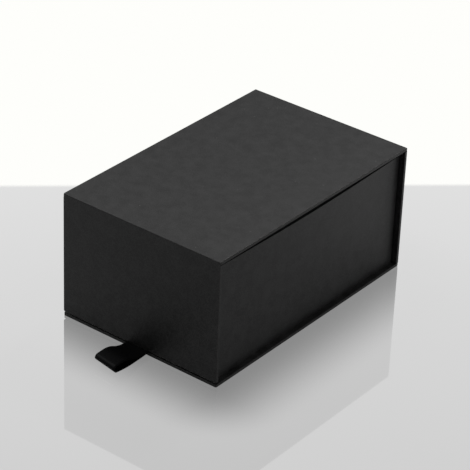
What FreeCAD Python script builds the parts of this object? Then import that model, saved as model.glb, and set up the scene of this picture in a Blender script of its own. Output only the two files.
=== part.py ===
import FreeCAD, Part
import math
import os
from FreeCAD import Vector

# A rigid gift box of paper-covered greyboard, in millimetres.
# A cover of four panels (base, spine, lid and flap) folds round a glued tray. The lid turns
# on the fold at the top of the spine, and the flap on the fold at the lid's front edge. The
# flap closes on magnets, and a doubled ribbon under its lower edge pulls it open.
# The origin is at the middle of the base's underside. +Z is up, -Y is the flap's side.

# ---- Overall size, over the covering paper ----
WIDTH = 140.0
DEPTH = 217.0
HEIGHT = 100.0

# ---- Stock ----
PAPER = 0.2
COVER_BOARD = 2.0
TRAY_BOARD = 2.0
FLOOR_CARD = 0.3
CORNER_TAPE = 0.15

# ---- How the papers are turned and rounded ----
TURN_IN = 15.0
MITRE_GAP = 0.3
MITRE_END = 1.6
LINING_MARGIN = 3.0
EDGE_RADIUS = 0.4
CORNER_RADIUS = 1.2
FOLD_RADIUS = 0.8
FOLD_LEG = 6.0

# ---- How the tray sits in the cover ----
OVERHANG = 4.3
RIM_GAP = 4.2
FLAP_GAP = 0.5
FLAP_LIFT = 1.0
FOLD_GAP = 0.6
TAPE_LEG = 14.0
FLOOR_TURN = 10.0
CARD_CLEARANCE = 0.1

# ---- Magnetic closure ----
MAGNET_DIAMETER = 10.0
MAGNET_THICKNESS = 1.0
MAGNET_SPACING = 84.0
MAGNET_RISE = 18.0
POCKET_CLEARANCE = 0.1

# ---- Ribbon pull ----
RIBBON_WIDTH = 20.0
RIBBON_THICKNESS = 0.3
RIBBON_REACH = 36.8
RIBBON_TAIL = 26.0
RIBBON_BEND = 0.3
RIBBON_BASE_GAP = 0.3
RIBBON_LOOP_HEIGHT = 5.8
RIBBON_RISE_START = 4.0
RIBBON_RISE_LENGTH = 24.0
RIBBON_CLEARANCE = 0.15

# ---- Directions ----
ACROSS = Vector(1, 0, 0)
REAR = Vector(0, 1, 0)
UP = Vector(0, 0, 1)

# ---- Sizes that follow ----
PANEL = PAPER + COVER_BOARD + PAPER
LINED_PANEL = PANEL + PAPER
SETBACK = FOLD_RADIUS
# Tools that cut right through a shape overshoot it by this much.
CUT = 1.0
# Points nearer than this are the same place.
SAME = 0.01

TRAY_HALF_WIDTH = WIDTH / 2 - OVERHANG
TRAY_FRONT = -DEPTH / 2 + LINED_PANEL + FLAP_GAP
TRAY_BACK = DEPTH / 2 - LINED_PANEL
TRAY_BOTTOM = PANEL
TRAY_RIM = HEIGHT - LINED_PANEL - RIM_GAP


def block(x0, x1, y0, y1, z0, z1):
    """A box between two corners."""
    return Part.makeBox(x1 - x0, y1 - y0, z1 - z0, Vector(x0, y0, z0))


def slab(half_width, y0, y1, z0, z1, edge, corner=0.0):
    """A flat board whose long edges are rounded.

    With a corner radius, the y1 end is a free end: its two corners are round in plan and its
    edges are rounded too. Without one, both ends are cut square, as they are at a fold.
    """
    shape = block(-half_width, half_width, y0, y1, z0, z1)
    free_end = corner > 0
    if free_end:
        uprights = [e for e in shape.Edges if is_upright(e) and e.CenterOfMass.y > (y0 + y1) / 2]
        shape = shape.makeFillet(corner, uprights)
    ends = (y0,) if free_end else (y0, y1)
    rims = [e for e in shape.Edges if not is_upright(e) and not lies_at(e, ends)]
    return shape.makeFillet(edge, rims)


def is_upright(edge):
    box = edge.BoundBox
    return box.ZLength > max(box.XLength, box.YLength)


def lies_at(edge, ends):
    box = edge.BoundBox
    return any(max(abs(box.YMin - y), abs(box.YMax - y)) < SAME for y in ends)


def mitre(x, y, side, z0, z1):
    """A slit at 45 degrees in two turn-ins that meet, from their inner corner to near the edge."""
    length = math.sqrt(2) * (TURN_IN - MITRE_END)
    slit = block(-CUT, length, -MITRE_GAP / 2, MITRE_GAP / 2, z0, z1)
    turn = FreeCAD.Rotation(UP, 90 - side * 45)
    slit.Placement = FreeCAD.Placement(Vector(x, y, 0), turn)
    return slit


class Panel:
    """One panel of the cover, drawn flat and then folded into its place.

    Flat, X runs across the box, Y from the fold where the panel starts to its far end, and Z
    from the outer face inwards. `start` and `end` are the board's ends, and `length` the way
    from this fold to the next. A panel with no next fold has a free end.
    """

    def __init__(self, start, end, length, origin, along, inward):
        self.start = start
        self.end = end
        self.length = length
        self.free_end = length is None
        self.place = FreeCAD.Placement(origin, FreeCAD.Rotation(along.cross(inward), along, inward, "ZYX"))

    def fold_up(self, shape):
        placed = shape.copy()
        placed.Placement = self.place
        return placed

    def solid(self, inset, z0, z1, beyond=0.0):
        """The board's outline, brought in by `inset` from the paper's outer face."""
        corner = CORNER_RADIUS - inset if self.free_end else 0.0
        far = self.end + PAPER - inset if self.free_end else self.end + beyond
        return slab(WIDTH / 2 - inset, self.start - beyond, far, z0, z1, EDGE_RADIUS - inset, corner)

    def board(self):
        return self.solid(PAPER, PAPER, PAPER + COVER_BOARD)

    def wrap(self):
        """The paper over the outer face, round the free edges and turned in behind them."""
        sheet = self.solid(0.0, 0.0, PANEL)
        core = self.solid(PAPER, PAPER, PAPER + COVER_BOARD, CUT)
        window_end = self.end + PAPER - TURN_IN if self.free_end else self.end + CUT
        half_window = WIDTH / 2 - TURN_IN
        inner_face = PAPER + COVER_BOARD
        window = block(-half_window, half_window, self.start - CUT, window_end, inner_face, PANEL + CUT)
        sheet = sheet.cut(core).cut(window)
        for y0, y1 in self.fold_ends():
            sheet = sheet.cut(block(-WIDTH, WIDTH, y0, y1, -CUT, PAPER))
        if self.free_end:
            for side in (-1, 1):
                sheet = sheet.cut(mitre(side * half_window, window_end, side, inner_face, PANEL + CUT))
        return sheet

    def fold_ends(self):
        """The stretches of the outer face that belong to the papers of the folds."""
        ends = [(-CUT, FOLD_LEG)]
        if not self.free_end:
            ends.append((self.length - FOLD_LEG, self.length + CUT))
        return ends

    def lining(self, y0, y1):
        half_width = WIDTH / 2 - LINING_MARGIN
        return block(-half_width, half_width, y0, y1, PANEL, LINED_PANEL)

    def lip(self, board_end, outwards, z0):
        """The lining's edge, turned over an end of the board into the groove of a fold."""
        y0, y1 = sorted((board_end, board_end + outwards * PAPER))
        half_width = WIDTH / 2 - LINING_MARGIN
        return block(-half_width, half_width, y0, y1, z0, LINED_PANEL)


REAR_FOOT = Vector(0, DEPTH / 2, 0)
REAR_HEAD = Vector(0, DEPTH / 2, HEIGHT)
FRONT_HEAD = Vector(0, -DEPTH / 2, HEIGHT)
FLAP_END = HEIGHT - PANEL - FLAP_LIFT
FOLD_START = PANEL + FOLD_GAP

BASE = Panel(SETBACK, DEPTH - PAPER, None, REAR_FOOT, -REAR, UP)
SPINE = Panel(FOLD_START, HEIGHT - FOLD_START, HEIGHT, REAR_FOOT, UP, -REAR)
LID = Panel(SETBACK, DEPTH - SETBACK, DEPTH, REAR_HEAD, -REAR, -UP)
FLAP = Panel(FOLD_START, FLAP_END - PAPER, None, FRONT_HEAD, -UP, REAR)


def spine_lining():
    """The lining behind the tray, up over the spine's top edge."""
    flat = SPINE.lining(SPINE.start, SPINE.end)
    return SPINE.fold_up(flat.fuse(SPINE.lip(SPINE.end, 1, PAPER)).removeSplitter())


def lid_lining():
    """The lining of the lid, turned over both ends of its board."""
    flat = LID.lining(LID.start, LID.end)
    for board_end, outwards in ((LID.start, -1), (LID.end, 1)):
        flat = flat.fuse(LID.lip(board_end, outwards, FOLD_RADIUS))
    return LID.fold_up(flat.removeSplitter())


def flap_lining():
    """The lining of the flap, turned over its board's upper end."""
    flat = FLAP.lining(FLAP.start, FLAP_END - LINING_MARGIN)
    return FLAP.fold_up(flat.fuse(FLAP.lip(FLAP.start, -1, PAPER)).removeSplitter())


class Strip:
    """A flat strip laid out in runs and bends, as seen from the side, its width along X."""

    def __init__(self, point, heading, width, thickness):
        self.point = point
        self.heading = heading
        self.width = width
        self.thickness = thickness
        self.pieces = []

    def across(self):
        """The heading turned a quarter about X."""
        return ACROSS.cross(self.heading)

    def section(self):
        half_width = ACROSS * (self.width / 2)
        half_thickness = self.across() * (self.thickness / 2)
        corners = [
            self.point - half_width - half_thickness,
            self.point + half_width - half_thickness,
            self.point + half_width + half_thickness,
            self.point - half_width + half_thickness,
        ]
        return Part.Face(Part.makePolygon(corners + corners[:1]))

    def run(self, length):
        self.pieces.append(self.section().extrude(self.heading * length))
        self.point = self.point + self.heading * length

    def bend(self, radius, angle):
        """Turns by a signed angle in degrees about X, at a radius to the strip's middle."""
        centre = self.point + self.across() * math.copysign(radius, angle)
        axis = ACROSS * math.copysign(1.0, angle)
        self.pieces.append(self.section().revolve(centre, axis, abs(angle)))
        turn = FreeCAD.Rotation(ACROSS, angle)
        self.point = centre + turn.multVec(self.point - centre)
        self.heading = turn.multVec(self.heading)

    def solid(self):
        return self.pieces[0].multiFuse(self.pieces[1:]).removeSplitter()


def fold_paper(y, z, to_y, to_z):
    """The paper round the fold at (y, z), with one leg towards +-Y and one towards +-Z."""
    start = Vector(0, y + to_y * FOLD_LEG, z + to_z * PAPER / 2)
    strip = Strip(start, REAR * -to_y, WIDTH, PAPER)
    strip.run(FOLD_LEG - FOLD_RADIUS)
    strip.bend(FOLD_RADIUS - PAPER / 2, -90 * to_y * to_z)
    strip.run(FOLD_LEG - FOLD_RADIUS)
    return strip.solid()


def discs(y0, thickness, diameter):
    """Two discs that face the flap, side by side at the height of the closure."""
    shapes = []
    for side in (-1, 1):
        centre = Vector(side * MAGNET_SPACING / 2, y0, PANEL + FLAP_LIFT + MAGNET_RISE)
        shapes.append(Part.makeCylinder(diameter / 2, thickness, centre, REAR))
    return Part.makeCompound(shapes)


def ribbon_pull():
    """One ribbon, doubled: down the flap's back, out under its edge, round a loop and back up.

    The upper layer leaves the lower one just outside the box and rises in an S to the loop.
    """
    half = RIBBON_THICKNESS / 2
    upper_bend = RIBBON_BEND + half
    lower_bend = upper_bend + RIBBON_THICKNESS
    low = PANEL + RIBBON_BASE_GAP + half
    bend_y = -DEPTH / 2 + PANEL - half - lower_bend
    bend_z = low + lower_bend
    tail = PANEL + FLAP_LIFT + RIBBON_TAIL - bend_z
    loop_radius = RIBBON_LOOP_HEIGHT / 2
    loop_y = -DEPTH / 2 - RIBBON_REACH + half + loop_radius
    rise = RIBBON_LOOP_HEIGHT - RIBBON_THICKNESS
    rise_y = -DEPTH / 2 - RIBBON_RISE_START
    rise_radius = (RIBBON_RISE_LENGTH ** 2 + rise ** 2) / (4 * rise)
    lean = math.degrees(math.asin(RIBBON_RISE_LENGTH / (2 * rise_radius)))

    ribbon = Strip(Vector(0, bend_y + upper_bend, bend_z + tail), -UP, RIBBON_WIDTH, RIBBON_THICKNESS)
    ribbon.run(tail)
    ribbon.bend(upper_bend, -90)
    ribbon.run(bend_y - rise_y)
    ribbon.bend(rise_radius, -lean)
    ribbon.bend(rise_radius, lean)
    ribbon.run(rise_y - RIBBON_RISE_LENGTH - loop_y)
    ribbon.bend(loop_radius, 180)
    ribbon.run(bend_y - loop_y)
    ribbon.bend(lower_bend, 90)
    ribbon.run(tail)
    return ribbon.solid()


def ribbon_seat():
    """The place pressed into the flap's back where the ribbon's two tails lie."""
    half_width = RIBBON_WIDTH / 2 + RIBBON_CLEARANCE
    back = -DEPTH / 2 + PANEL
    depth = 2 * RIBBON_THICKNESS + RIBBON_CLEARANCE
    bottom = PANEL + FLAP_LIFT
    top = bottom + RIBBON_TAIL + RIBBON_CLEARANCE
    return block(-half_width, half_width, back - depth, back, bottom - CUT, top)


def pockets(y0):
    return discs(y0, MAGNET_THICKNESS, MAGNET_DIAMETER + 2 * POCKET_CLEARANCE)


def flap_back():
    """The inner face of the flap's board."""
    return -DEPTH / 2 + PAPER + COVER_BOARD


def tray_block(inset, bottom, top, corner):
    """The tray's outline brought in by `inset`, with its upright corners rounded."""
    shape = block(
        -TRAY_HALF_WIDTH + inset, TRAY_HALF_WIDTH - inset,
        TRAY_FRONT + inset, TRAY_BACK - inset, bottom, top,
    )
    return shape.makeFillet(corner, [e for e in shape.Edges if is_upright(e)])


BOARD_INSET = PAPER + CORNER_TAPE
BOARD_BOTTOM = TRAY_BOTTOM + PAPER
BOARD_TOP = TRAY_RIM - PAPER
INNER_INSET = BOARD_INSET + TRAY_BOARD
FLOOR_TOP = BOARD_BOTTOM + TRAY_BOARD
TRAY_CORNER = CORNER_RADIUS


def tray_boards():
    """Five boards: the floor inside four walls, with the long walls between the short ones."""
    outline = tray_block(BOARD_INSET, BOARD_BOTTOM, BOARD_TOP, TRAY_CORNER - BOARD_INSET)
    x0 = TRAY_HALF_WIDTH - INNER_INSET
    front = TRAY_FRONT + INNER_INSET
    back = TRAY_BACK - INNER_INSET
    floor = block(-x0, x0, front, back, BOARD_BOTTOM, FLOOR_TOP)
    front_wall = outline.common(block(-WIDTH, WIDTH, TRAY_FRONT, front, 0, HEIGHT))
    back_wall = outline.common(block(-WIDTH, WIDTH, back, TRAY_BACK, 0, HEIGHT))
    left_wall = outline.common(block(-WIDTH, -x0, front, back, 0, HEIGHT))
    right_wall = outline.common(block(x0, WIDTH, front, back, 0, HEIGHT))
    front_wall = front_wall.cut(pockets(TRAY_FRONT + BOARD_INSET))
    return {
        "tray_floor_board": floor,
        "tray_front_wall": front_wall,
        "tray_back_wall": back_wall,
        "tray_left_wall": left_wall,
        "tray_right_wall": right_wall,
    }


def tray_wrap():
    """One paper over the walls outside, over the rim, down inside and out onto the floor."""
    skin = tray_block(0.0, TRAY_BOTTOM, TRAY_RIM, TRAY_CORNER)
    rim = [e for e in skin.Edges if not is_upright(e) and e.CenterOfMass.z > HEIGHT / 2]
    skin = skin.makeFillet(EDGE_RADIUS, rim)
    walls = tray_block(PAPER, BOARD_BOTTOM, BOARD_TOP, TRAY_CORNER - PAPER)
    walls = walls.cut(inside(INNER_INSET, FLOOR_TOP, HEIGHT))
    cavity = inside(INNER_INSET + PAPER, FLOOR_TOP + PAPER, HEIGHT)
    floor_window = inside(INNER_INSET + FLOOR_TURN, 0, HEIGHT)
    bottom_window = inside(TURN_IN, 0, BOARD_BOTTOM)
    return skin.cut(walls).cut(cavity).cut(floor_window).cut(bottom_window)


def inside(inset, bottom, top):
    """A square-cornered space inside the tray's outline."""
    half_width = TRAY_HALF_WIDTH - inset
    return block(-half_width, half_width, TRAY_FRONT + inset, TRAY_BACK - inset, bottom, top)


def tray_floor_card():
    bottom = FLOOR_TOP + PAPER
    return inside(INNER_INSET + PAPER + CARD_CLEARANCE, bottom, bottom + FLOOR_CARD)


def corner_tapes():
    """Tape folded round each upright corner of the boards, under the paper."""
    outer = tray_block(PAPER, BOARD_BOTTOM, BOARD_TOP, TRAY_CORNER - PAPER)
    core = tray_block(BOARD_INSET, 0, HEIGHT, TRAY_CORNER - BOARD_INSET)
    ring = outer.cut(core)
    tapes = []
    for x in (-TRAY_HALF_WIDTH, TRAY_HALF_WIDTH):
        for y in (TRAY_FRONT, TRAY_BACK):
            corner = block(x - TAPE_LEG, x + TAPE_LEG, y - TAPE_LEG, y + TAPE_LEG, 0, HEIGHT)
            tapes.append(ring.common(corner))
    return Part.makeCompound(tapes)


def build():
    flap_board = FLAP.fold_up(FLAP.board()).cut(ribbon_seat())
    flap_board = flap_board.cut(pockets(flap_back() - MAGNET_THICKNESS))
    nodes = {
        "base_board": BASE.fold_up(BASE.board()),
        "base_wrap": BASE.fold_up(BASE.wrap()),
        "base_fold_paper": fold_paper(DEPTH / 2, 0, -1, 1),
        "spine_board": SPINE.fold_up(SPINE.board()),
        "spine_wrap": SPINE.fold_up(SPINE.wrap()),
        "spine_lining": spine_lining(),
        "lid_fold_paper": fold_paper(DEPTH / 2, HEIGHT, -1, -1),
        "lid_board": LID.fold_up(LID.board()),
        "lid_wrap": LID.fold_up(LID.wrap()),
        "lid_lining": lid_lining(),
        "flap_fold_paper": fold_paper(-DEPTH / 2, HEIGHT, 1, -1),
        "flap_board": flap_board,
        "flap_wrap": FLAP.fold_up(FLAP.wrap()).cut(ribbon_seat()),
        "flap_lining": flap_lining(),
        "flap_magnets": discs(flap_back() - MAGNET_THICKNESS, MAGNET_THICKNESS, MAGNET_DIAMETER),
        "ribbon_pull": ribbon_pull(),
        "tray_wrap": tray_wrap(),
        "tray_floor_card": tray_floor_card(),
        "tray_corner_tapes": corner_tapes(),
        "tray_keeper_discs": discs(TRAY_FRONT + BOARD_INSET, MAGNET_THICKNESS, MAGNET_DIAMETER),
    }
    nodes.update(tray_boards())
    return nodes


os.makedirs("parts", exist_ok=True)
for name, shape in build().items():
    shape.exportStep("parts/" + name + ".step")
    print(name, len(shape.Solids), "solids,", round(shape.Volume, 1), "mm3")
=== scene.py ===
import math

import bmesh
import bpy
from mathutils import Matrix, Vector


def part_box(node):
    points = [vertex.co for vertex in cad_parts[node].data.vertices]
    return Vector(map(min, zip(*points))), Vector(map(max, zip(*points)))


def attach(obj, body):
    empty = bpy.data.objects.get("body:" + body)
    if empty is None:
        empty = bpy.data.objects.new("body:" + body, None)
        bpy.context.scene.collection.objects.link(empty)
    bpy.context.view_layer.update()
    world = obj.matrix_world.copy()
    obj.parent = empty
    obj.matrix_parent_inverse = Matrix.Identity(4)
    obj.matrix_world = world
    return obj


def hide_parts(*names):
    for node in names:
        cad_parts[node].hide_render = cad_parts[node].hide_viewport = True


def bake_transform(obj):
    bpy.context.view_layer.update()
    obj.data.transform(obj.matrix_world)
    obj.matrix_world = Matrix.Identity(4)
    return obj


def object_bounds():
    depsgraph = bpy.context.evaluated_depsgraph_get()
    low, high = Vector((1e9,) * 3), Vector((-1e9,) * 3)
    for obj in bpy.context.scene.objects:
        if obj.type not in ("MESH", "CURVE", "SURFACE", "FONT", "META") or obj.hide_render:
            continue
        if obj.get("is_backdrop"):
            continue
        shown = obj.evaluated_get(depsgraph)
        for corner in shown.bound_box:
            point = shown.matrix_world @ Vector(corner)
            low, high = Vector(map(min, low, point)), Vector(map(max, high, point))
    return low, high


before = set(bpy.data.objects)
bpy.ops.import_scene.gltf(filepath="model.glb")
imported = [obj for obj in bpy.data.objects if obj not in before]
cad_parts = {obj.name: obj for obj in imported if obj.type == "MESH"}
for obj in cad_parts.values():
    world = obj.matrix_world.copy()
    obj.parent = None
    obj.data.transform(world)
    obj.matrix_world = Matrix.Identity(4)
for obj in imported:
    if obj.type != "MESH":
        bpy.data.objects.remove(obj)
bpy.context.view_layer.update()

MM = 0.001


# ---- Camera ----
# A long lens on a stand, looking down on the flap's corner of the box, with the stand's head
# turned two degrees off level.

LENS = 174.98
SENSOR = 36.0
AZIMUTH = math.radians(37.315)
ELEVATION = math.radians(30.378)
ROLL = math.radians(2.331)
DISTANCE = 1647.5 * MM
AIM_ABOVE_FLOOR = 50.0 * MM
AIM_ASIDE = -1.446 * MM
AIM_RAISE = -3.1 * MM

camera_data = bpy.data.cameras.new("camera")
camera_data.lens = LENS
camera_data.sensor_width = SENSOR
camera = bpy.data.objects.new("camera", camera_data)
bpy.context.scene.collection.objects.link(camera)

level_right = Vector((math.cos(AZIMUTH), math.sin(AZIMUTH), 0))
towards_camera = Vector((
    math.sin(AZIMUTH) * math.cos(ELEVATION),
    -math.cos(AZIMUTH) * math.cos(ELEVATION),
    math.sin(ELEVATION),
))
level_up = towards_camera.cross(level_right)
camera_right = level_right * math.cos(ROLL) + level_up * math.sin(ROLL)
camera_up = level_up * math.cos(ROLL) - level_right * math.sin(ROLL)
aim = Vector((0, 0, AIM_ABOVE_FLOOR)) + camera_right * AIM_ASIDE + camera_up * AIM_RAISE
turned = Matrix((camera_right, camera_up, towards_camera)).transposed().to_4x4()
camera.matrix_world = Matrix.Translation(aim + towards_camera * DISTANCE) @ turned
bpy.context.scene.camera = camera
bpy.context.scene.view_settings.view_transform = "Standard"


# ---- Floor ----
# A pale acrylic sheet on a table, with a straight edge behind the box. It is most polished
# where the box stands and matt further out. Its tone is painted light: the sheet glows for the
# eye, painted paler towards the edge.

FLOOR_SPAN = 6.0
FLOOR_EDGE_NORMAL = Vector((-0.67361, 0.73908, 0.0))
FLOOR_EDGE_DISTANCE = 156.1 * MM
FLOOR_EDGE_SOFTNESS = 3.2 * MM
MIRROR_AT_BOX = 0.62
MIRROR_FAR = 0.12
MIRROR_FADE = 62.0 * MM
MATT_FROM = 170.0 * MM
MATT_FULLY = 230.0 * MM
MIRROR_ROUGHNESS = 0.03
# Painted light: the sheet glows in the seen tones for the eye, paler towards the edge.
SEEN_TONES = ("#d2d2d2", "#e2e2e2")
SEEN_FROM, SEEN_TO = -220.0 * MM, 150.0 * MM
# Painted reflection: the box's sheen sees the sheet in the mirrored tones, paler towards the edge
# and partly glowing.
MIRRORED_TONES = ("#c3c3c3", "#fefefe")
MIRRORED_FROM, MIRRORED_TO = -100.0 * MM, 120.0 * MM
# Painted shade: the box's matt faces get this darker tone from the sheet.
PAINTED_SHADE_TONE = "#5a5a5a"
# The sheet's own light is a painted glow: 0.9 of its tone for the eye, 0.25 for the box's sheen.
OWN_LIGHT = 0.9
OWN_LIGHT_MIRRORED = 0.25


def linear(colour):
    """An sRGB hex colour as linear red, green, blue and alpha."""
    parts = [int(colour[i:i + 2], 16) / 255 for i in (1, 3, 5)]
    return (*(c / 12.92 if c <= 0.04045 else ((c + 0.055) / 1.055) ** 2.4 for c in parts), 1.0)


def add_node(tree, kind, inputs=None, **settings):
    """Adds a node with its settings, and gives each named or numbered input a value or a link."""
    node = tree.nodes.new(kind)
    for name, value in settings.items():
        setattr(node, name, value)
    for key, value in (inputs or {}).items():
        if isinstance(value, bpy.types.NodeSocket):
            tree.links.new(value, node.inputs[key])
        else:
            node.inputs[key].default_value = value
    return node


def compute(tree, operation, *inputs):
    """One step of arithmetic on numbers."""
    return add_node(tree, "ShaderNodeMath", dict(enumerate(inputs)), operation=operation).outputs[0]


def compute_vector(tree, operation, *inputs):
    """One step of arithmetic on vectors. A length or a dot product is a number."""
    node = add_node(tree, "ShaderNodeVectorMath", dict(enumerate(inputs)), operation=operation)
    return node.outputs["Value" if operation in ("LENGTH", "DOT_PRODUCT") else "Vector"]


def ramp(tree, value, start, end, first=0.0, last=1.0, smooth=False):
    """Goes from `first` to `last` while the value goes from `start` to `end`."""
    return add_node(tree, "ShaderNodeMapRange", {
        "Value": value, "From Min": start, "From Max": end, "To Min": first, "To Max": last,
    }, interpolation_type="SMOOTHSTEP" if smooth else "LINEAR").outputs[0]


def blend_tones(tree, share, first, last):
    """Goes from the first tone to the last. A tone is an sRGB hex colour or another node's."""
    tones = [linear(tone) if isinstance(tone, str) else tone for tone in (first, last)]
    return add_node(tree, "ShaderNodeMix", {
        0: share, 6: tones[0], 7: tones[1],
    }, data_type="RGBA").outputs[2]


def blend_shaders(tree, share, first, last):
    """Goes from the first surface to the last."""
    return add_node(tree, "ShaderNodeMixShader", {0: share, 1: first, 2: last}).outputs[0]


def new_material(name):
    """A material with an empty node tree, and the tree."""
    material = bpy.data.materials.new(name)
    material.use_nodes = True
    material.node_tree.nodes.clear()
    return material, material.node_tree


def show(name, bm, material):
    """A mesh object at the origin made from a bmesh, with one material."""
    mesh = bpy.data.meshes.new(name)
    bm.to_mesh(mesh)
    bm.free()
    mesh.materials.append(material)
    piece = bpy.data.objects.new(name, mesh)
    bpy.context.scene.collection.objects.link(piece)
    return piece


floor_acrylic, tree = new_material("polished_acrylic_sheet")
place = add_node(tree, "ShaderNodeTexCoord").outputs["Object"]
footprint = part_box("base_wrap")[1]
across = compute_vector(tree, "ABSOLUTE", place)
beyond = compute_vector(tree, "SUBTRACT", across, (footprint.x, footprint.y, FLOOR_SPAN))
outside = compute_vector(tree, "MAXIMUM", beyond, (0, 0, 0))
gap = compute_vector(tree, "LENGTH", outside)
polish = ramp(tree, gap, 0.0, MIRROR_FADE, MIRROR_AT_BOX, MIRROR_FAR, smooth=True)
kept = ramp(tree, gap, MATT_FROM, MATT_FULLY, 1.0, 0.0, smooth=True)
mirror = compute(tree, "MULTIPLY", polish, kept)
# Painted light: the eye sees the sheet glow in one tone, the box's sheen sees a painted
# reflection in another, both paler towards the edge, and its matt faces get a darker painted shade.
along = compute_vector(tree, "DOT_PRODUCT", place, FLOOR_EDGE_NORMAL)
seen_painted_light = blend_tones(tree, ramp(tree, along, SEEN_FROM, SEEN_TO), *SEEN_TONES)
mirrored_painted_light = blend_tones(tree, ramp(tree, along, MIRRORED_FROM, MIRRORED_TO), *MIRRORED_TONES)
rays = add_node(tree, "ShaderNodeLightPath").outputs
bounced = blend_tones(tree, rays["Is Glossy Ray"], PAINTED_SHADE_TONE, mirrored_painted_light)
tone = blend_tones(tree, rays["Is Camera Ray"], bounced, seen_painted_light)
# Painted glow: the sheet lights itself for the eye and, in part, for the box's sheen.
to_eye = compute(tree, "MULTIPLY", rays["Is Camera Ray"], OWN_LIGHT)
own_light = compute(tree, "MULTIPLY_ADD", rays["Is Glossy Ray"], OWN_LIGHT_MIRRORED, to_eye)
lit = add_node(tree, "ShaderNodeBsdfDiffuse", {"Color": tone}).outputs[0]
glow = add_node(tree, "ShaderNodeEmission", {"Color": tone, "Strength": 1.0}).outputs[0]
matt = blend_shaders(tree, own_light, lit, glow)
gloss = add_node(tree, "ShaderNodeBsdfGlossy", {
    "Color": (1, 1, 1, 1), "Roughness": MIRROR_ROUGHNESS,
}).outputs[0]
acrylic = blend_shaders(tree, mirror, matt, gloss)
clear = add_node(tree, "ShaderNodeBsdfTransparent").outputs[0]
edge_start = FLOOR_EDGE_DISTANCE - FLOOR_EDGE_SOFTNESS
edge_end = FLOOR_EDGE_DISTANCE + FLOOR_EDGE_SOFTNESS
fade = ramp(tree, along, edge_start, edge_end, smooth=True)
surface = blend_shaders(tree, fade, acrylic, clear)
add_node(tree, "ShaderNodeOutputMaterial", {"Surface": surface})

bm = bmesh.new()
bmesh.ops.create_grid(bm, x_segments=1, y_segments=1, size=FLOOR_SPAN / 2)
bmesh.ops.bisect_plane(
    bm, geom=bm.verts[:] + bm.edges[:] + bm.faces[:], clear_outer=True,
    plane_co=FLOOR_EDGE_NORMAL * edge_end, plane_no=FLOOR_EDGE_NORMAL,
)
floor = show("floor", bm, floor_acrylic)
floor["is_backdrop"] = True


# ---- Light ----
# Three soft lamps: one over the left side, a small one behind the box that gives the lid its
# sheen, and one at the right. The floor mirrors a pale screen that hangs behind the box.

BACKDROP_TONE = "#fefefb"
ROOM_TONE = "#969696"
WALL_TONES = ("#5a5a5a", "#898989")
WALLS_FROM, WALLS_TO = -0.3, 0.6
TABLE_TONE = "#e2e2e2"
TABLE_FULLY = -0.1
SCREEN_TONE = "#d8d8d8"
SCREEN_DIRECTION = Vector((-0.523, 0.686, 0.506))
SCREEN_CORE = math.radians(9.0)
SCREEN_EDGE = math.radians(14.0)

world = bpy.data.worlds.new("white_room")
world.use_nodes = True
bpy.context.scene.world = world
tree = world.node_tree
tree.nodes.clear()
rays = add_node(tree, "ShaderNodeLightPath").outputs
direction = add_node(tree, "ShaderNodeTexCoord").outputs["Generated"]
bearing = compute_vector(tree, "DOT_PRODUCT", direction, FLOOR_EDGE_NORMAL)
to_back = ramp(tree, bearing, WALLS_FROM, WALLS_TO, smooth=True)
walls = blend_tones(tree, to_back, *WALL_TONES)
# Below the horizon lies the table's white top.
level = add_node(tree, "ShaderNodeSeparateXYZ", {0: direction}).outputs["Z"]
to_table = ramp(tree, level, 0.0, TABLE_FULLY, smooth=True)
surroundings = blend_tones(tree, to_table, walls, TABLE_TONE)
off_screen = compute_vector(tree, "DOT_PRODUCT", direction, SCREEN_DIRECTION)
on_screen = ramp(tree, off_screen, math.cos(SCREEN_EDGE), math.cos(SCREEN_CORE), smooth=True)
room_mirrored = blend_tones(tree, on_screen, surroundings, SCREEN_TONE)
room = blend_tones(tree, rays["Is Glossy Ray"], ROOM_TONE, room_mirrored)
backdrop = blend_tones(tree, rays["Is Camera Ray"], room, BACKDROP_TONE)
background = add_node(tree, "ShaderNodeBackground", {"Color": backdrop, "Strength": 1.0}).outputs[0]
add_node(tree, "ShaderNodeOutputWorld", {"Surface": background})


def soft_lamp(name, watts, size, place, target):
    """A square lamp of one size in metres, turned to face a point."""
    data = bpy.data.lights.new(name, "AREA")
    data.shape = "SQUARE"
    data.size = size
    data.energy = watts
    lamp = bpy.data.objects.new(name, data)
    bpy.context.scene.collection.objects.link(lamp)
    lamp.location = place
    lamp.rotation_euler = (Vector(target) - Vector(place)).to_track_quat("-Z", "Y").to_euler()


soft_lamp("overhead_softbox", watts=5.8, size=0.8, place=(-0.7, 0.0, 1.0), target=(0, 0, 0))
soft_lamp("rear_softbox", watts=2.95, size=0.2, place=(-0.05, 0.68, 0.9), target=(0, 0, 0))
soft_lamp("side_softbox", watts=1.7, size=0.8, place=(1.0, 0.1, 0.6), target=(0, 0, 0.05))


# ---- Cover: base ----
# The bottom panel: 2 mm greyboard in black paper. The paper covers the underside, wraps round
# three edges and is turned in and glued on the upper face, mitred at the two front corners.

WIDTH = 140.0 * MM
DEPTH = 217.0 * MM
HEIGHT = 100.0 * MM
PAPER = 0.2 * MM
BOARD = 2.0 * MM
TURN_IN = 15.0 * MM
MITRE_GAP = 0.3 * MM
LINING_MARGIN = WIDTH / 2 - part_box("lid_lining")[1].x
FOLD_RADIUS = 0.8 * MM
FREE_CORNER = 1.2 * MM
CORNER_STEPS = 4
EDGE_ROUND = 0.25 * MM
EDGE_STEPS = 3
REAR = Vector((0, 1, 0))
UP = Vector((0, 0, 1))

# The pulp's clouds are 2 to 10 mm across. The fibres are about 0.03 mm thick, too fine to show,
# so the felt is drawn at 0.8 mm.
CLOUD_SIZE = 9.0 * MM
FELT_SIZE = 0.8 * MM
FELT_WEIGHT = 1.7
MOTTLE_FROM, MOTTLE_TO = 1.14, 1.56
GLOSS_SPREAD = 0.02
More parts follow.
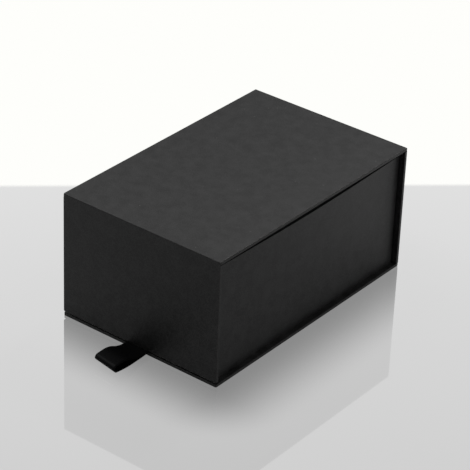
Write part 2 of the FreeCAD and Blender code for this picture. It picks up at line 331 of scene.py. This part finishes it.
# Lint settles on the closed lid as pale specks 0.4 mm across, about a dozen in all. The core and
# the rim are parts of the spacing, and LINT_MISSING is the share of the places left clean.
LINT_SPACING = 4.5 * MM
LINT_CORE, LINT_RIM = 0.03, 0.09
LINT_MISSING = 0.75
LINT_TONE = "#6f6f6c"
# Edges are rubbed grey within 0.9 mm, in patches 5 to 10 mm long, and corners fully.
RUB_DEPTH = 0.9 * MM
EDGE_CORE = 0.1 * MM
CORNER_CORE = 0.3 * MM
PATCH_SIZE = 7.0 * MM
PATCH_FROM, PATCH_TO = 0.4, 0.75
PATCH_LEAST, PATCH_MOST = 0.1, 0.5
RUBBED_TONE = "#5c5b5a"


def noise(tree, place, size, detail, roughness=0.5, distortion=0.0):
    """Cloudy noise whose largest shapes have the given size."""
    return add_node(tree, "ShaderNodeTexNoise", {
        "Vector": place, "Scale": 1 / size, "Detail": detail, "Roughness": roughness,
        "Distortion": distortion,
    }).outputs["Fac"]


def nearness_to_edges(tree, place):
    """How near a point lies to the closed box's edges, and to its corners, both from 0 to 1.

    Of its depths below the sides, the ends and the top or bottom, two are small at an edge and
    all three at a corner.
    """
    centred = compute_vector(tree, "SUBTRACT", place, (0, 0, HEIGHT / 2))
    folded = compute_vector(tree, "ABSOLUTE", centred)
    depth = compute_vector(tree, "SUBTRACT", folded, (WIDTH / 2, DEPTH / 2, HEIGHT / 2))
    x, y, z = add_node(tree, "ShaderNodeSeparateXYZ", {0: depth}).outputs
    deeper = compute(tree, "MINIMUM", x, y)
    nearer = compute(tree, "MAXIMUM", x, y)
    second = compute(tree, "MAXIMUM", deeper, compute(tree, "MINIMUM", nearer, z))
    third = compute(tree, "MINIMUM", deeper, z)
    edge = ramp(tree, second, -RUB_DEPTH, -EDGE_CORE, smooth=True)
    corner = ramp(tree, third, -RUB_DEPTH, -CORNER_CORE, smooth=True)
    return edge, corner


def lint_on_lid(tree, place):
    """Where lint lies on the lid's outer face."""
    cells = add_node(tree, "ShaderNodeTexVoronoi", {"Vector": place, "Scale": 1 / LINT_SPACING})
    speck = ramp(tree, cells.outputs["Distance"], LINT_CORE, LINT_RIM, 1.0, 0.0)
    chosen = compute(tree, "GREATER_THAN", cells.outputs["Color"], LINT_MISSING)
    level = add_node(tree, "ShaderNodeSeparateXYZ", {0: place}).outputs["Z"]
    on_lid = compute(tree, "GREATER_THAN", level, HEIGHT - PAPER)
    return compute(tree, "MULTIPLY", speck, compute(tree, "MULTIPLY", chosen, on_lid))


def dyed_paper(name, dark, light, roughness, specular, rub):
    """Uncoated black paper, dyed in the pulp and calendered.

    It shows the pulp's clouds, a fine felt and a soft sheen. Rubbed edges and corners go grey.
    """
    material, tree = new_material(name)
    place = add_node(tree, "ShaderNodeTexCoord").outputs["Object"]
    clouds = noise(tree, place, CLOUD_SIZE, detail=4.0, roughness=0.7)
    felt = noise(tree, place, FELT_SIZE, detail=2.0, roughness=0.6)
    both = compute(tree, "MULTIPLY_ADD", felt, FELT_WEIGHT, clouds)
    mottle = ramp(tree, both, MOTTLE_FROM, MOTTLE_TO)
    dyed = blend_tones(tree, mottle, dark, light)
    pulp = blend_tones(tree, lint_on_lid(tree, place), dyed, LINT_TONE)
    edge, corner = nearness_to_edges(tree, place)
    patches = noise(tree, place, PATCH_SIZE, detail=4.0, roughness=0.7)
    patchy = ramp(tree, patches, PATCH_FROM, PATCH_TO, PATCH_LEAST, PATCH_MOST)
    worst = compute(tree, "MAXIMUM", compute(tree, "MULTIPLY", edge, patchy), corner)
    rubbed = compute(tree, "MULTIPLY", worst, rub)
    colour = blend_tones(tree, rubbed, pulp, RUBBED_TONE)
    gloss = ramp(tree, mottle, 0.0, 1.0, roughness - GLOSS_SPREAD, roughness + GLOSS_SPREAD)
    tooth = add_node(tree, "ShaderNodeBump", {
        "Strength": 0.2, "Distance": 0.03 * MM, "Height": felt,
    }).outputs[0]
    sheet = add_node(tree, "ShaderNodeBsdfPrincipled", {
        "Base Color": colour, "Roughness": gloss, "IOR": 1.5, "Specular IOR Level": specular,
        "Normal": tooth,
    }).outputs[0]
    add_node(tree, "ShaderNodeOutputMaterial", {"Surface": sheet})
    return material


cover_paper = dyed_paper(
    "black_dyed_cover_paper", "#0d0d0d", "#2c2c2c", roughness=0.5, specular=0.34, rub=0.4,
)


def greyboard_stock():
    """Recycled greyboard: a warm grey pulp with darker and paler flecks, and a rough matt face."""
    material, tree = new_material("recycled_greyboard")
    place = add_node(tree, "ShaderNodeTexCoord").outputs["Object"]
    # Flecks of old print are 0.5 to 2 mm long.
    flecks = noise(tree, place, 1.2 * MM, detail=5.0, roughness=0.7)
    colour = blend_tones(tree, ramp(tree, flecks, 0.3, 0.7), "#8d867c", "#a9a298")
    tooth = add_node(tree, "ShaderNodeBump", {
        "Strength": 0.5, "Distance": 0.1 * MM, "Height": flecks,
    }).outputs[0]
    board = add_node(tree, "ShaderNodeBsdfPrincipled", {
        "Base Color": colour, "Roughness": 0.9, "IOR": 1.5, "Specular IOR Level": 0.3,
        "Normal": tooth,
    }).outputs[0]
    add_node(tree, "ShaderNodeOutputMaterial", {"Surface": board})
    return material


greyboard = greyboard_stock()


def finish_node(name, material):
    """Gives a part that keeps its own shape its material."""
    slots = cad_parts[name].data.materials
    slots.clear()
    slots.append(material)


def edges_of(geometry):
    return [g for g in geometry if isinstance(g, bmesh.types.BMEdge)]


def verts_of(geometry):
    return [g for g in geometry if isinstance(g, bmesh.types.BMVert)]


def is_level(edge):
    return abs(edge.verts[0].co.z - edge.verts[1].co.z) < PAPER / 4


def is_right_angled(edge):
    """Whether the paper's two faces at an edge stand at a right angle."""
    faces = edge.link_faces
    return len(faces) == 2 and abs(faces[0].normal.dot(faces[1].normal)) < 0.2


def round_over(bm, edges, radius, segments):
    bmesh.ops.bevel(
        bm, geom=edges, offset=radius, segments=segments, profile=0.5, affect="EDGES", material=-1,
    )


def open_mitres(bm, corner_x, corner_y):
    """Parts the two turn-ins along the diagonal from each inner corner."""
    for side in (-1, 1):
        at = Vector((side * corner_x, corner_y, 0))
        diagonal = [
            e for e in bm.edges
            if len(e.link_faces) == 2 and any((v.co.xy - at.xy).length < PAPER for v in e.verts)
        ]
        bmesh.ops.split_edges(bm, edges=diagonal)
        ends = [v for v in bm.verts if (v.co.xy - at.xy).length < PAPER / 10 and v.link_faces]
        for v in ends:
            middle = v.link_faces[0].calc_center_median()
            v.co += (middle - v.co).normalized() * MITRE_GAP / 2


def panel_paper(start, end, free_end, origin, along, inward):
    """The wrap of one panel, drawn flat and then moved to its place.

    Flat, X runs across the box, Y from the fold and Z from the outer face inwards. The sheet's
    middle is drawn, between `start` and `end`. At a free end the paper is turned in too.
    """
    half = PAPER / 2
    far = end - half if free_end else end
    bm = bmesh.new()
    bmesh.ops.create_grid(bm, x_segments=1, y_segments=1, size=0.5)
    bmesh.ops.scale(bm, verts=bm.verts[:], vec=(WIDTH - PAPER, far - start, 1))
    bmesh.ops.translate(bm, verts=bm.verts[:], vec=(0, (start + far) / 2, half))
    turned = [e for e in bm.edges if abs(e.verts[0].co.x - e.verts[1].co.x) < half]
    if free_end:
        turned += [e for e in bm.edges if min(v.co.y for v in e.verts) > far - half]
    for rise, inset in ((BOARD + PAPER, 0.0), (0.0, TURN_IN - half)):
        grown = bmesh.ops.extrude_edge_only(bm, edges=turned)["geom"]
        turned = edges_of(grown)
        for v in verts_of(grown):
            v.co.z += rise
            v.co.x -= math.copysign(inset, v.co.x)
            if free_end and v.co.y > far - half:
                v.co.y -= inset
    uprights = [
        e for e in bm.edges
        if abs(e.verts[0].co.z - e.verts[1].co.z) > BOARD / 2 and len(e.link_faces) == 2
    ]
    if uprights:
        round_over(bm, uprights, FREE_CORNER - half, CORNER_STEPS)
    bends = [e for e in bm.edges if is_level(e) and is_right_angled(e)]
    round_over(bm, bends, EDGE_ROUND - half, EDGE_STEPS)
    if free_end:
        open_mitres(bm, WIDTH / 2 - TURN_IN, far + half - TURN_IN)
    # Beside the lining, the board's raw end at a fold is covered by the paper turned round it.
    folded_ends = [start + half] if free_end else [start + half, end - half]
    for at in folded_ends:
        for side in (-1, 1):
            inner, outer = side * (WIDTH / 2 - LINING_MARGIN), side * (WIDTH / 2 - PAPER)
            corners = (
                (inner, PAPER), (outer, PAPER), (outer, BOARD + PAPER), (inner, BOARD + PAPER),
            )
            bm.faces.new([bm.verts.new((x, at, z)) for x, z in corners])
    place = Matrix((along.cross(inward), along, inward)).transposed().to_4x4()
    bmesh.ops.transform(bm, verts=bm.verts[:], matrix=Matrix.Translation(origin) @ place)
    return bm


def thicken(piece, thickness):
    """Gives a sheet its thickness, half to each side."""
    solid = piece.modifiers.new("thickness", "SOLIDIFY")
    solid.thickness = thickness
    solid.offset = 0.0
    solid.use_even_offset = True


REAR_FOOT = Vector((0, DEPTH / 2, 0))
bm = panel_paper(FOLD_RADIUS, DEPTH, free_end=True, origin=REAR_FOOT, along=-REAR, inward=UP)
base_paper = show("base_paper", bm, cover_paper)
thicken(base_paper, PAPER)
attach(base_paper, "tray")
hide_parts("base_wrap")
finish_node("base_board", greyboard)


# ---- Cover: spine ----
# The back panel, wrapped like the base. A smoother black lining paper covers its inner face and
# runs over its top edge into the groove of the lid's fold.

SPINE_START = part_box("spine_board")[0].z - PAPER
SPINE_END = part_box("spine_lining")[1].z

bm = panel_paper(
    SPINE_START, SPINE_END, free_end=False, origin=REAR_FOOT, along=UP, inward=-REAR,
)
spine_paper = show("spine_paper", bm, cover_paper)
thicken(spine_paper, PAPER)
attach(spine_paper, "tray")
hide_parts("spine_wrap")
finish_node("spine_board", greyboard)

lining_paper = dyed_paper(
    "black_lining_paper", "#141415", "#232324", roughness=0.45, specular=0.35, rub=0.0,
)
finish_node("spine_lining", lining_paper)


# ---- Cover: base fold ----
# Between the panels the cover's paper runs free round a groove with the lining pasted to its
# inner side. At the foot of the spine it only lets the cover fold up once, round the tray.

FOLD_LAYERS = 3 * PAPER
FOLD_STEPS = 8


def fold_paper(name, corner, to_panel, to_next, reach):
    """The papers round the fold at `corner`, from one panel's end to `reach` along the next."""
    half = FOLD_LAYERS / 2
    centre = corner + (to_panel + to_next) * FOLD_RADIUS
    first = corner + to_panel * FOLD_RADIUS + to_next * half
    bm = bmesh.new()
    ends = [bm.verts.new(first + Vector((side * (WIDTH / 2 - half), 0, 0))) for side in (-1, 1)]
    line = bm.edges.new(ends)
    spun = bmesh.ops.spin(
        bm, geom=[line], cent=centre, axis=to_next.cross(to_panel), angle=math.pi / 2,
        steps=FOLD_STEPS, dvec=(0, 0, 0),
    )
    leg = bmesh.ops.extrude_edge_only(bm, edges=edges_of(spun["geom_last"]))["geom"]
    bmesh.ops.translate(bm, verts=verts_of(leg), vec=to_next * (reach - FOLD_RADIUS))
    bmesh.ops.remove_doubles(bm, verts=bm.verts[:], dist=PAPER / 100)
    bmesh.ops.recalc_face_normals(bm, faces=bm.faces[:])
    strip = show(name, bm, cover_paper)
    thicken(strip, FOLD_LAYERS)
    return strip


base_fold = fold_paper("base_fold", REAR_FOOT, -REAR, UP, SPINE_START)
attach(base_fold, "tray")
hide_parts("base_fold_paper")


# ---- Tray: boards ----
# Five greyboards glued edge to edge and taped at the corners. The long side walls bulge out a
# little between the corners, as free walls of this length do when their paper dries.

TRAY_LOW, TRAY_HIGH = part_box("tray_wrap")
TRAY_MIDDLE = (TRAY_LOW.y + TRAY_HIGH.y) / 2
TRAY_LENGTH = TRAY_HIGH.y - TRAY_LOW.y
TRAY_HEIGHT = TRAY_HIGH.z - TRAY_LOW.z
BOW = 2.3 * MM
BOW_POWER = 1.5
BOW_LENGTHS = 16
BOW_LEVELS = 5


def bow_walls(bm):
    """Cuts rings round a tray part and bends its side walls out at the top, between the corners."""
    cuts = [
        ((0, TRAY_LOW.y + TRAY_LENGTH * i / BOW_LENGTHS, 0), REAR) for i in range(1, BOW_LENGTHS)
    ] + [
        ((0, 0, TRAY_LOW.z + TRAY_HEIGHT * i / BOW_LEVELS), UP) for i in range(1, BOW_LEVELS)
    ]
    for point, normal in cuts:
        bmesh.ops.bisect_plane(
            bm, geom=bm.verts[:] + bm.edges[:] + bm.faces[:], dist=PAPER / 100,
            plane_co=point, plane_no=normal,
        )
    for v in bm.verts:
        if abs(v.co.x) > WIDTH / 4:
            between = math.cos(math.pi * (v.co.y - TRAY_MIDDLE) / TRAY_LENGTH)
            height = (v.co.z - TRAY_LOW.z) / TRAY_HEIGHT
            v.co.x += math.copysign(BOW * between * height ** BOW_POWER, v.co.x)


bm = bmesh.new()
for name in ("tray_left_wall", "tray_right_wall"):
    low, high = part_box(name)
    wall = bmesh.ops.create_cube(bm, size=1.0)["verts"]
    bmesh.ops.scale(bm, verts=wall, vec=high - low)
    bmesh.ops.translate(bm, verts=wall, vec=(low + high) / 2)
bow_walls(bm)
side_boards = show("tray_side_boards", bm, greyboard)
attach(side_boards, "tray")
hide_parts("tray_left_wall", "tray_right_wall")
for name in ("tray_floor_board", "tray_front_wall", "tray_back_wall"):
    finish_node(name, greyboard)


# ---- Tray: corner tapes and keeper discs ----
# Gummed kraft tape folded round each corner of the boards, and two steel discs let into the
# front wall behind the paper, which the flap's magnets pull on.

kraft_tape, tree = new_material("gummed_kraft_tape")
place = add_node(tree, "ShaderNodeTexCoord").outputs["Object"]
# Kraft shows long brown fibres, drawn 0.5 mm apart and ten times as long up the corner.
stretched = add_node(tree, "ShaderNodeMapping", {"Vector": place, "Scale": (1, 1, 0.1)}).outputs[0]
fibres = noise(tree, stretched, 0.5 * MM, detail=4.0)
brown = blend_tones(tree, fibres, "#8f6a3f", "#b8925f")
kraft = add_node(tree, "ShaderNodeBsdfPrincipled", {
    "Base Color": brown, "Roughness": 0.6, "IOR": 1.5,
}).outputs[0]
add_node(tree, "ShaderNodeOutputMaterial", {"Surface": kraft})
finish_node("tray_corner_tapes", kraft_tape)


def plated_metal(name, dark, light, roughness):
    """Plated steel with the faint swirl of barrel polishing, drawn 1.5 mm wide."""
    metal, tree = new_material(name)
    place = add_node(tree, "ShaderNodeTexCoord").outputs["Object"]
    swirl = noise(tree, place, 1.5 * MM, detail=3.0, distortion=1.5)
    colour = blend_tones(tree, swirl, dark, light)
    dull = ramp(tree, swirl, 0.0, 1.0, roughness - 0.05, roughness + 0.1)
    plate = add_node(tree, "ShaderNodeBsdfPrincipled", {
        "Base Color": colour, "Metallic": 1.0, "Roughness": dull,
    }).outputs[0]
    add_node(tree, "ShaderNodeOutputMaterial", {"Surface": plate})
    return metal


zinc_plate = plated_metal("zinc_plated_steel", "#9c9fa3", "#b9bcc0", roughness=0.35)
finish_node("tray_keeper_discs", zinc_plate)


# ---- Tray: wrap and floor card ----
# One sheet of the cover's paper runs up the walls, over the rim, down inside and out onto the
# floor. A card of the lining paper lies over its edges on the floor.

TRAY_CORNER = 1.2 * MM
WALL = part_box("tray_left_wall")[1].x - TRAY_LOW.x
FLOOR_TURN = 10.0 * MM

half = PAPER / 2
low = TRAY_LOW + Vector((half, half, half))
high = TRAY_HIGH - Vector((half, half, half))
floor_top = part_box("tray_floor_board")[1].z + half


def grow_flange(bm, edges, inset):
    """Grows a level flange inwards from a ring of edges."""
    grown = bmesh.ops.extrude_edge_only(bm, edges=edges)["geom"]
    for v in verts_of(grown):
        v.co.x -= math.copysign(inset, v.co.x)
        v.co.y -= math.copysign(inset, v.co.y)


bm = bmesh.new()
bmesh.ops.create_cube(bm, size=1.0)
bmesh.ops.scale(bm, verts=bm.verts[:], vec=high - low)
bmesh.ops.translate(bm, verts=bm.verts[:], vec=(low + high) / 2)
top = max(bm.faces, key=lambda f: f.calc_center_median().z)
bottom = min(bm.faces, key=lambda f: f.calc_center_median().z)
bmesh.ops.inset_region(bm, faces=[top], thickness=WALL, use_even_offset=True)
rim_inside = top.edges[:]
foot = bottom.edges[:]
bmesh.ops.delete(bm, geom=[top, bottom], context="FACES_ONLY")
walls_inside = bmesh.ops.extrude_edge_only(bm, edges=rim_inside)["geom"]
for v in verts_of(walls_inside):
    v.co.z = floor_top
grow_flange(bm, edges_of(walls_inside), FLOOR_TURN)
grow_flange(bm, foot, TURN_IN)
corners = [
    e for e in bm.edges
    if abs(e.verts[0].co.z - e.verts[1].co.z) > HEIGHT / 2 and abs(e.verts[0].co.x) > high.x - half
]
round_over(bm, corners, TRAY_CORNER - half, CORNER_STEPS)
rim = [
    e for e in bm.edges
    if min(v.co.z for v in e.verts) > high.z - half and is_right_angled(e)
]
round_over(bm, rim, EDGE_ROUND - half, EDGE_STEPS)
bow_walls(bm)
tray_paper = show("tray_paper", bm, cover_paper)
thicken(tray_paper, PAPER)
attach(tray_paper, "tray")
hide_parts("tray_wrap")
finish_node("tray_floor_card", lining_paper)


# ---- Cover: lid ----
# The top panel, wrapped over both long edges. Its lining is turned over both ends of the board
# into the grooves of the two folds.

REAR_HEAD = Vector((0, DEPTH / 2, HEIGHT))
LID_END = DEPTH - FOLD_RADIUS

bm = panel_paper(
    FOLD_RADIUS, LID_END, free_end=False, origin=REAR_HEAD, along=-REAR, inward=-UP,
)
lid_paper = show("lid_paper", bm, cover_paper)
thicken(lid_paper, PAPER)
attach(lid_paper, "lid")
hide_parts("lid_wrap")
finish_node("lid_board", greyboard)
finish_node("lid_lining", lining_paper)

lid_fold = fold_paper("lid_fold", REAR_HEAD, -REAR, -UP, HEIGHT - SPINE_END)
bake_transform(lid_fold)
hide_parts("lid_fold_paper")


# ---- Cover: flap ----
# The front panel, which hangs from the lid's front fold. Two magnet discs are let into its
# board under the lining.

FRONT_HEAD = Vector((0, -DEPTH / 2, HEIGHT))
FLAP_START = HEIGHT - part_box("flap_lining")[1].z
FLAP_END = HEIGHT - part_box("flap_wrap")[0].z

bm = panel_paper(
    FLAP_START, FLAP_END, free_end=True, origin=FRONT_HEAD, along=-UP, inward=REAR,
)
flap_paper = show("flap_paper", bm, cover_paper)
thicken(flap_paper, PAPER)
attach(flap_paper, "flap")
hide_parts("flap_wrap")
finish_node("flap_board", greyboard)
finish_node("flap_lining", lining_paper)
nickel_plate = plated_metal("nickel_plated_magnet", "#b4b2ac", "#cfcdc7", roughness=0.2)
finish_node("flap_magnets", nickel_plate)

flap_fold = fold_paper("flap_fold", FRONT_HEAD, REAR, -UP, FLAP_START)
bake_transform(flap_fold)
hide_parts("flap_fold_paper")


# ---- Ribbon pull ----
# A 20 mm black satin ribbon, doubled. Both tails are pasted behind the flap's lining, and the
# loop comes out under the flap's lower edge, sags over the base and rises to its fold.

RIBBON_WIDTH = 20.0 * MM
RIBBON_THICKNESS = 0.3 * MM
RIBBON_COLUMNS = 12
TAIL = 25.65 * MM
UPPER_BEND = 0.45 * MM
LOWER_BEND = 0.75 * MM
ROOT_RUN = 5.35 * MM
RISE_RUN = 24.0 * MM
CREST_RUN = 5.75 * MM
LOOP_RADIUS = 2.9 * MM
SAG_RUN = 31.0 * MM
SAG_DEPTH = 0.9 * MM
TOP_TWIST = 0.4 * MM
FOOT_TWIST = 0.9 * MM
FOOT_RAISE = 0.9 * MM
FOLD_SKEW = 2.7 * MM
SKEW_PIVOT = 0.25
FAR_RISE = 0.7 * MM
NEAR_DIP = 1.5 * MM
DIP_LENGTH = 7.0 * MM


class RibbonPath:
    """A ribbon's middle surface, grown from a line across it by runs and by bends."""

    def __init__(self, width, columns, start, heading):
        self.bm = bmesh.new()
        ends = [self.bm.verts.new(start + Vector((side * width / 2, 0, 0))) for side in (-1, 1)]
        self.bm.edges.new(ends)
        bmesh.ops.subdivide_edges(self.bm, edges=self.bm.edges[:], cuts=columns - 1)
        self.line = self.bm.edges[:]
        self.point = start
        self.heading = heading

    def run(self, length, steps):
        """Takes the ribbon straight on."""
        for _ in range(steps):
            grown = bmesh.ops.extrude_edge_only(self.bm, edges=self.line)["geom"]
            bmesh.ops.translate(self.bm, verts=verts_of(grown), vec=self.heading * length / steps)
            self.line = edges_of(grown)
        self.point = self.point + self.heading * length

    def bend(self, radius, angle, steps):
        """Bends the ribbon round an axis across it. A positive angle turns -Y down to -Z."""
        across = Vector((1, 0, 0))
        centre = self.point + across.cross(self.heading) * math.copysign(radius, angle)
        spun = bmesh.ops.spin(
            self.bm, geom=self.line, cent=centre, axis=across, angle=angle, steps=steps,
            dvec=(0, 0, 0),
        )
        turn = Matrix.Rotation(angle, 3, "X")
        self.line = edges_of(spun["geom_last"])
        self.point = centre + turn @ (self.point - centre)
        self.heading = turn @ self.heading


ribbon_low, ribbon_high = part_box("ribbon_pull")
start = Vector((0, ribbon_high.y - RIBBON_THICKNESS / 2, ribbon_high.z))
rise = 2 * LOOP_RADIUS - RIBBON_THICKNESS
rise_radius = (RISE_RUN ** 2 + rise ** 2) / (4 * rise)
rise_lean = math.asin(RISE_RUN / 2 / rise_radius)
sag_radius = SAG_RUN ** 2 / 8 / SAG_DEPTH
sag_lean = math.asin(SAG_RUN / 2 / sag_radius)

path = RibbonPath(RIBBON_WIDTH, RIBBON_COLUMNS, start, -UP)
path.run(TAIL, steps=6)
path.bend(UPPER_BEND, -math.pi / 2, steps=6)
path.run(ROOT_RUN, steps=3)
path.bend(rise_radius, -rise_lean, steps=8)
path.bend(rise_radius, rise_lean, steps=8)
path_crest = path.point.y
crest_height = path.point.z
path.run(CREST_RUN, steps=3)
path.bend(LOOP_RADIUS, math.pi - sag_lean, steps=16)
path.bend(sag_radius, 2 * sag_lean, steps=16)
path.bend(sag_radius / 10, -sag_lean, steps=3)
path.run(start.y - RIBBON_THICKNESS - LOWER_BEND - path.point.y, steps=3)
path.bend(LOWER_BEND, math.pi / 2, steps=6)
path.run(TAIL, steps=6)
bm = path.bm
bmesh.ops.remove_doubles(bm, verts=bm.verts[:], dist=PAPER / 100)

# The loop hangs askew. `out` grows from 0 at the flap to 1 at the fold, `side` from -0.5 at the
# left edge to 0.5 at the right, and `below` from 0 on the upper layer to 1 on the lower.
dip_middle = (path_crest + ribbon_high.y) / 2
for v in bm.verts:
    if v.co.y < start.y - LOWER_BEND and v.co.z < crest_height + PAPER:
        out = (start.y - v.co.y) / (start.y - ribbon_low.y)
        side = v.co.x / RIBBON_WIDTH
        below = (crest_height - v.co.z) / (2 * LOOP_RADIUS)
        foot_lift = out ** 4 * below * ((0.5 - side) * FOOT_TWIST + FOOT_RAISE)
        fold_twist = out ** 2 * side * TOP_TWIST
        left_rise = 4 * out * (1 - out) * (0.5 - side) * FAR_RISE
        near = math.exp(-((v.co.y - dip_middle) / DIP_LENGTH) ** 2)
        right_dip = near * (0.5 + side) ** 2 * (1 - below) * NEAR_DIP
        v.co.z += foot_lift - fold_twist + left_rise - right_dip
        v.co.y -= out ** 2 * (side - SKEW_PIVOT) * FOLD_SKEW
bmesh.ops.recalc_face_normals(bm, faces=bm.faces[:])

black_satin, tree = new_material("black_satin_ribbon")
place = add_node(tree, "ShaderNodeTexCoord").outputs["Object"]
# Satin threads are 0.1 mm apart, too fine to show, so they are drawn at 0.4 mm.
threads = add_node(tree, "ShaderNodeTexWave", {
    "Vector": place, "Scale": 1 / (0.4 * MM) / (2 * math.pi), "Distortion": 0.6, "Detail": 2.0,
}, bands_direction="X").outputs["Fac"]
colour = blend_tones(tree, threads, "#050506", "#09090a")
ribs = add_node(tree, "ShaderNodeBump", {
    "Strength": 0.15, "Distance": 0.05 * MM, "Height": threads,
}).outputs[0]
cloth = add_node(tree, "ShaderNodeBsdfPrincipled", {
    "Base Color": colour, "Roughness": 0.55, "IOR": 1.5, "Specular IOR Level": 0.1,
    "Normal": ribs,
}).outputs[0]
add_node(tree, "ShaderNodeOutputMaterial", {"Surface": cloth})

ribbon = show("ribbon", bm, black_satin)
for face in ribbon.data.polygons:
    face.use_smooth = True
thicken(ribbon, RIBBON_THICKNESS)
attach(ribbon, "flap")
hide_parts("ribbon_pull")


# ---- Sizes, and the end ----

low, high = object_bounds()
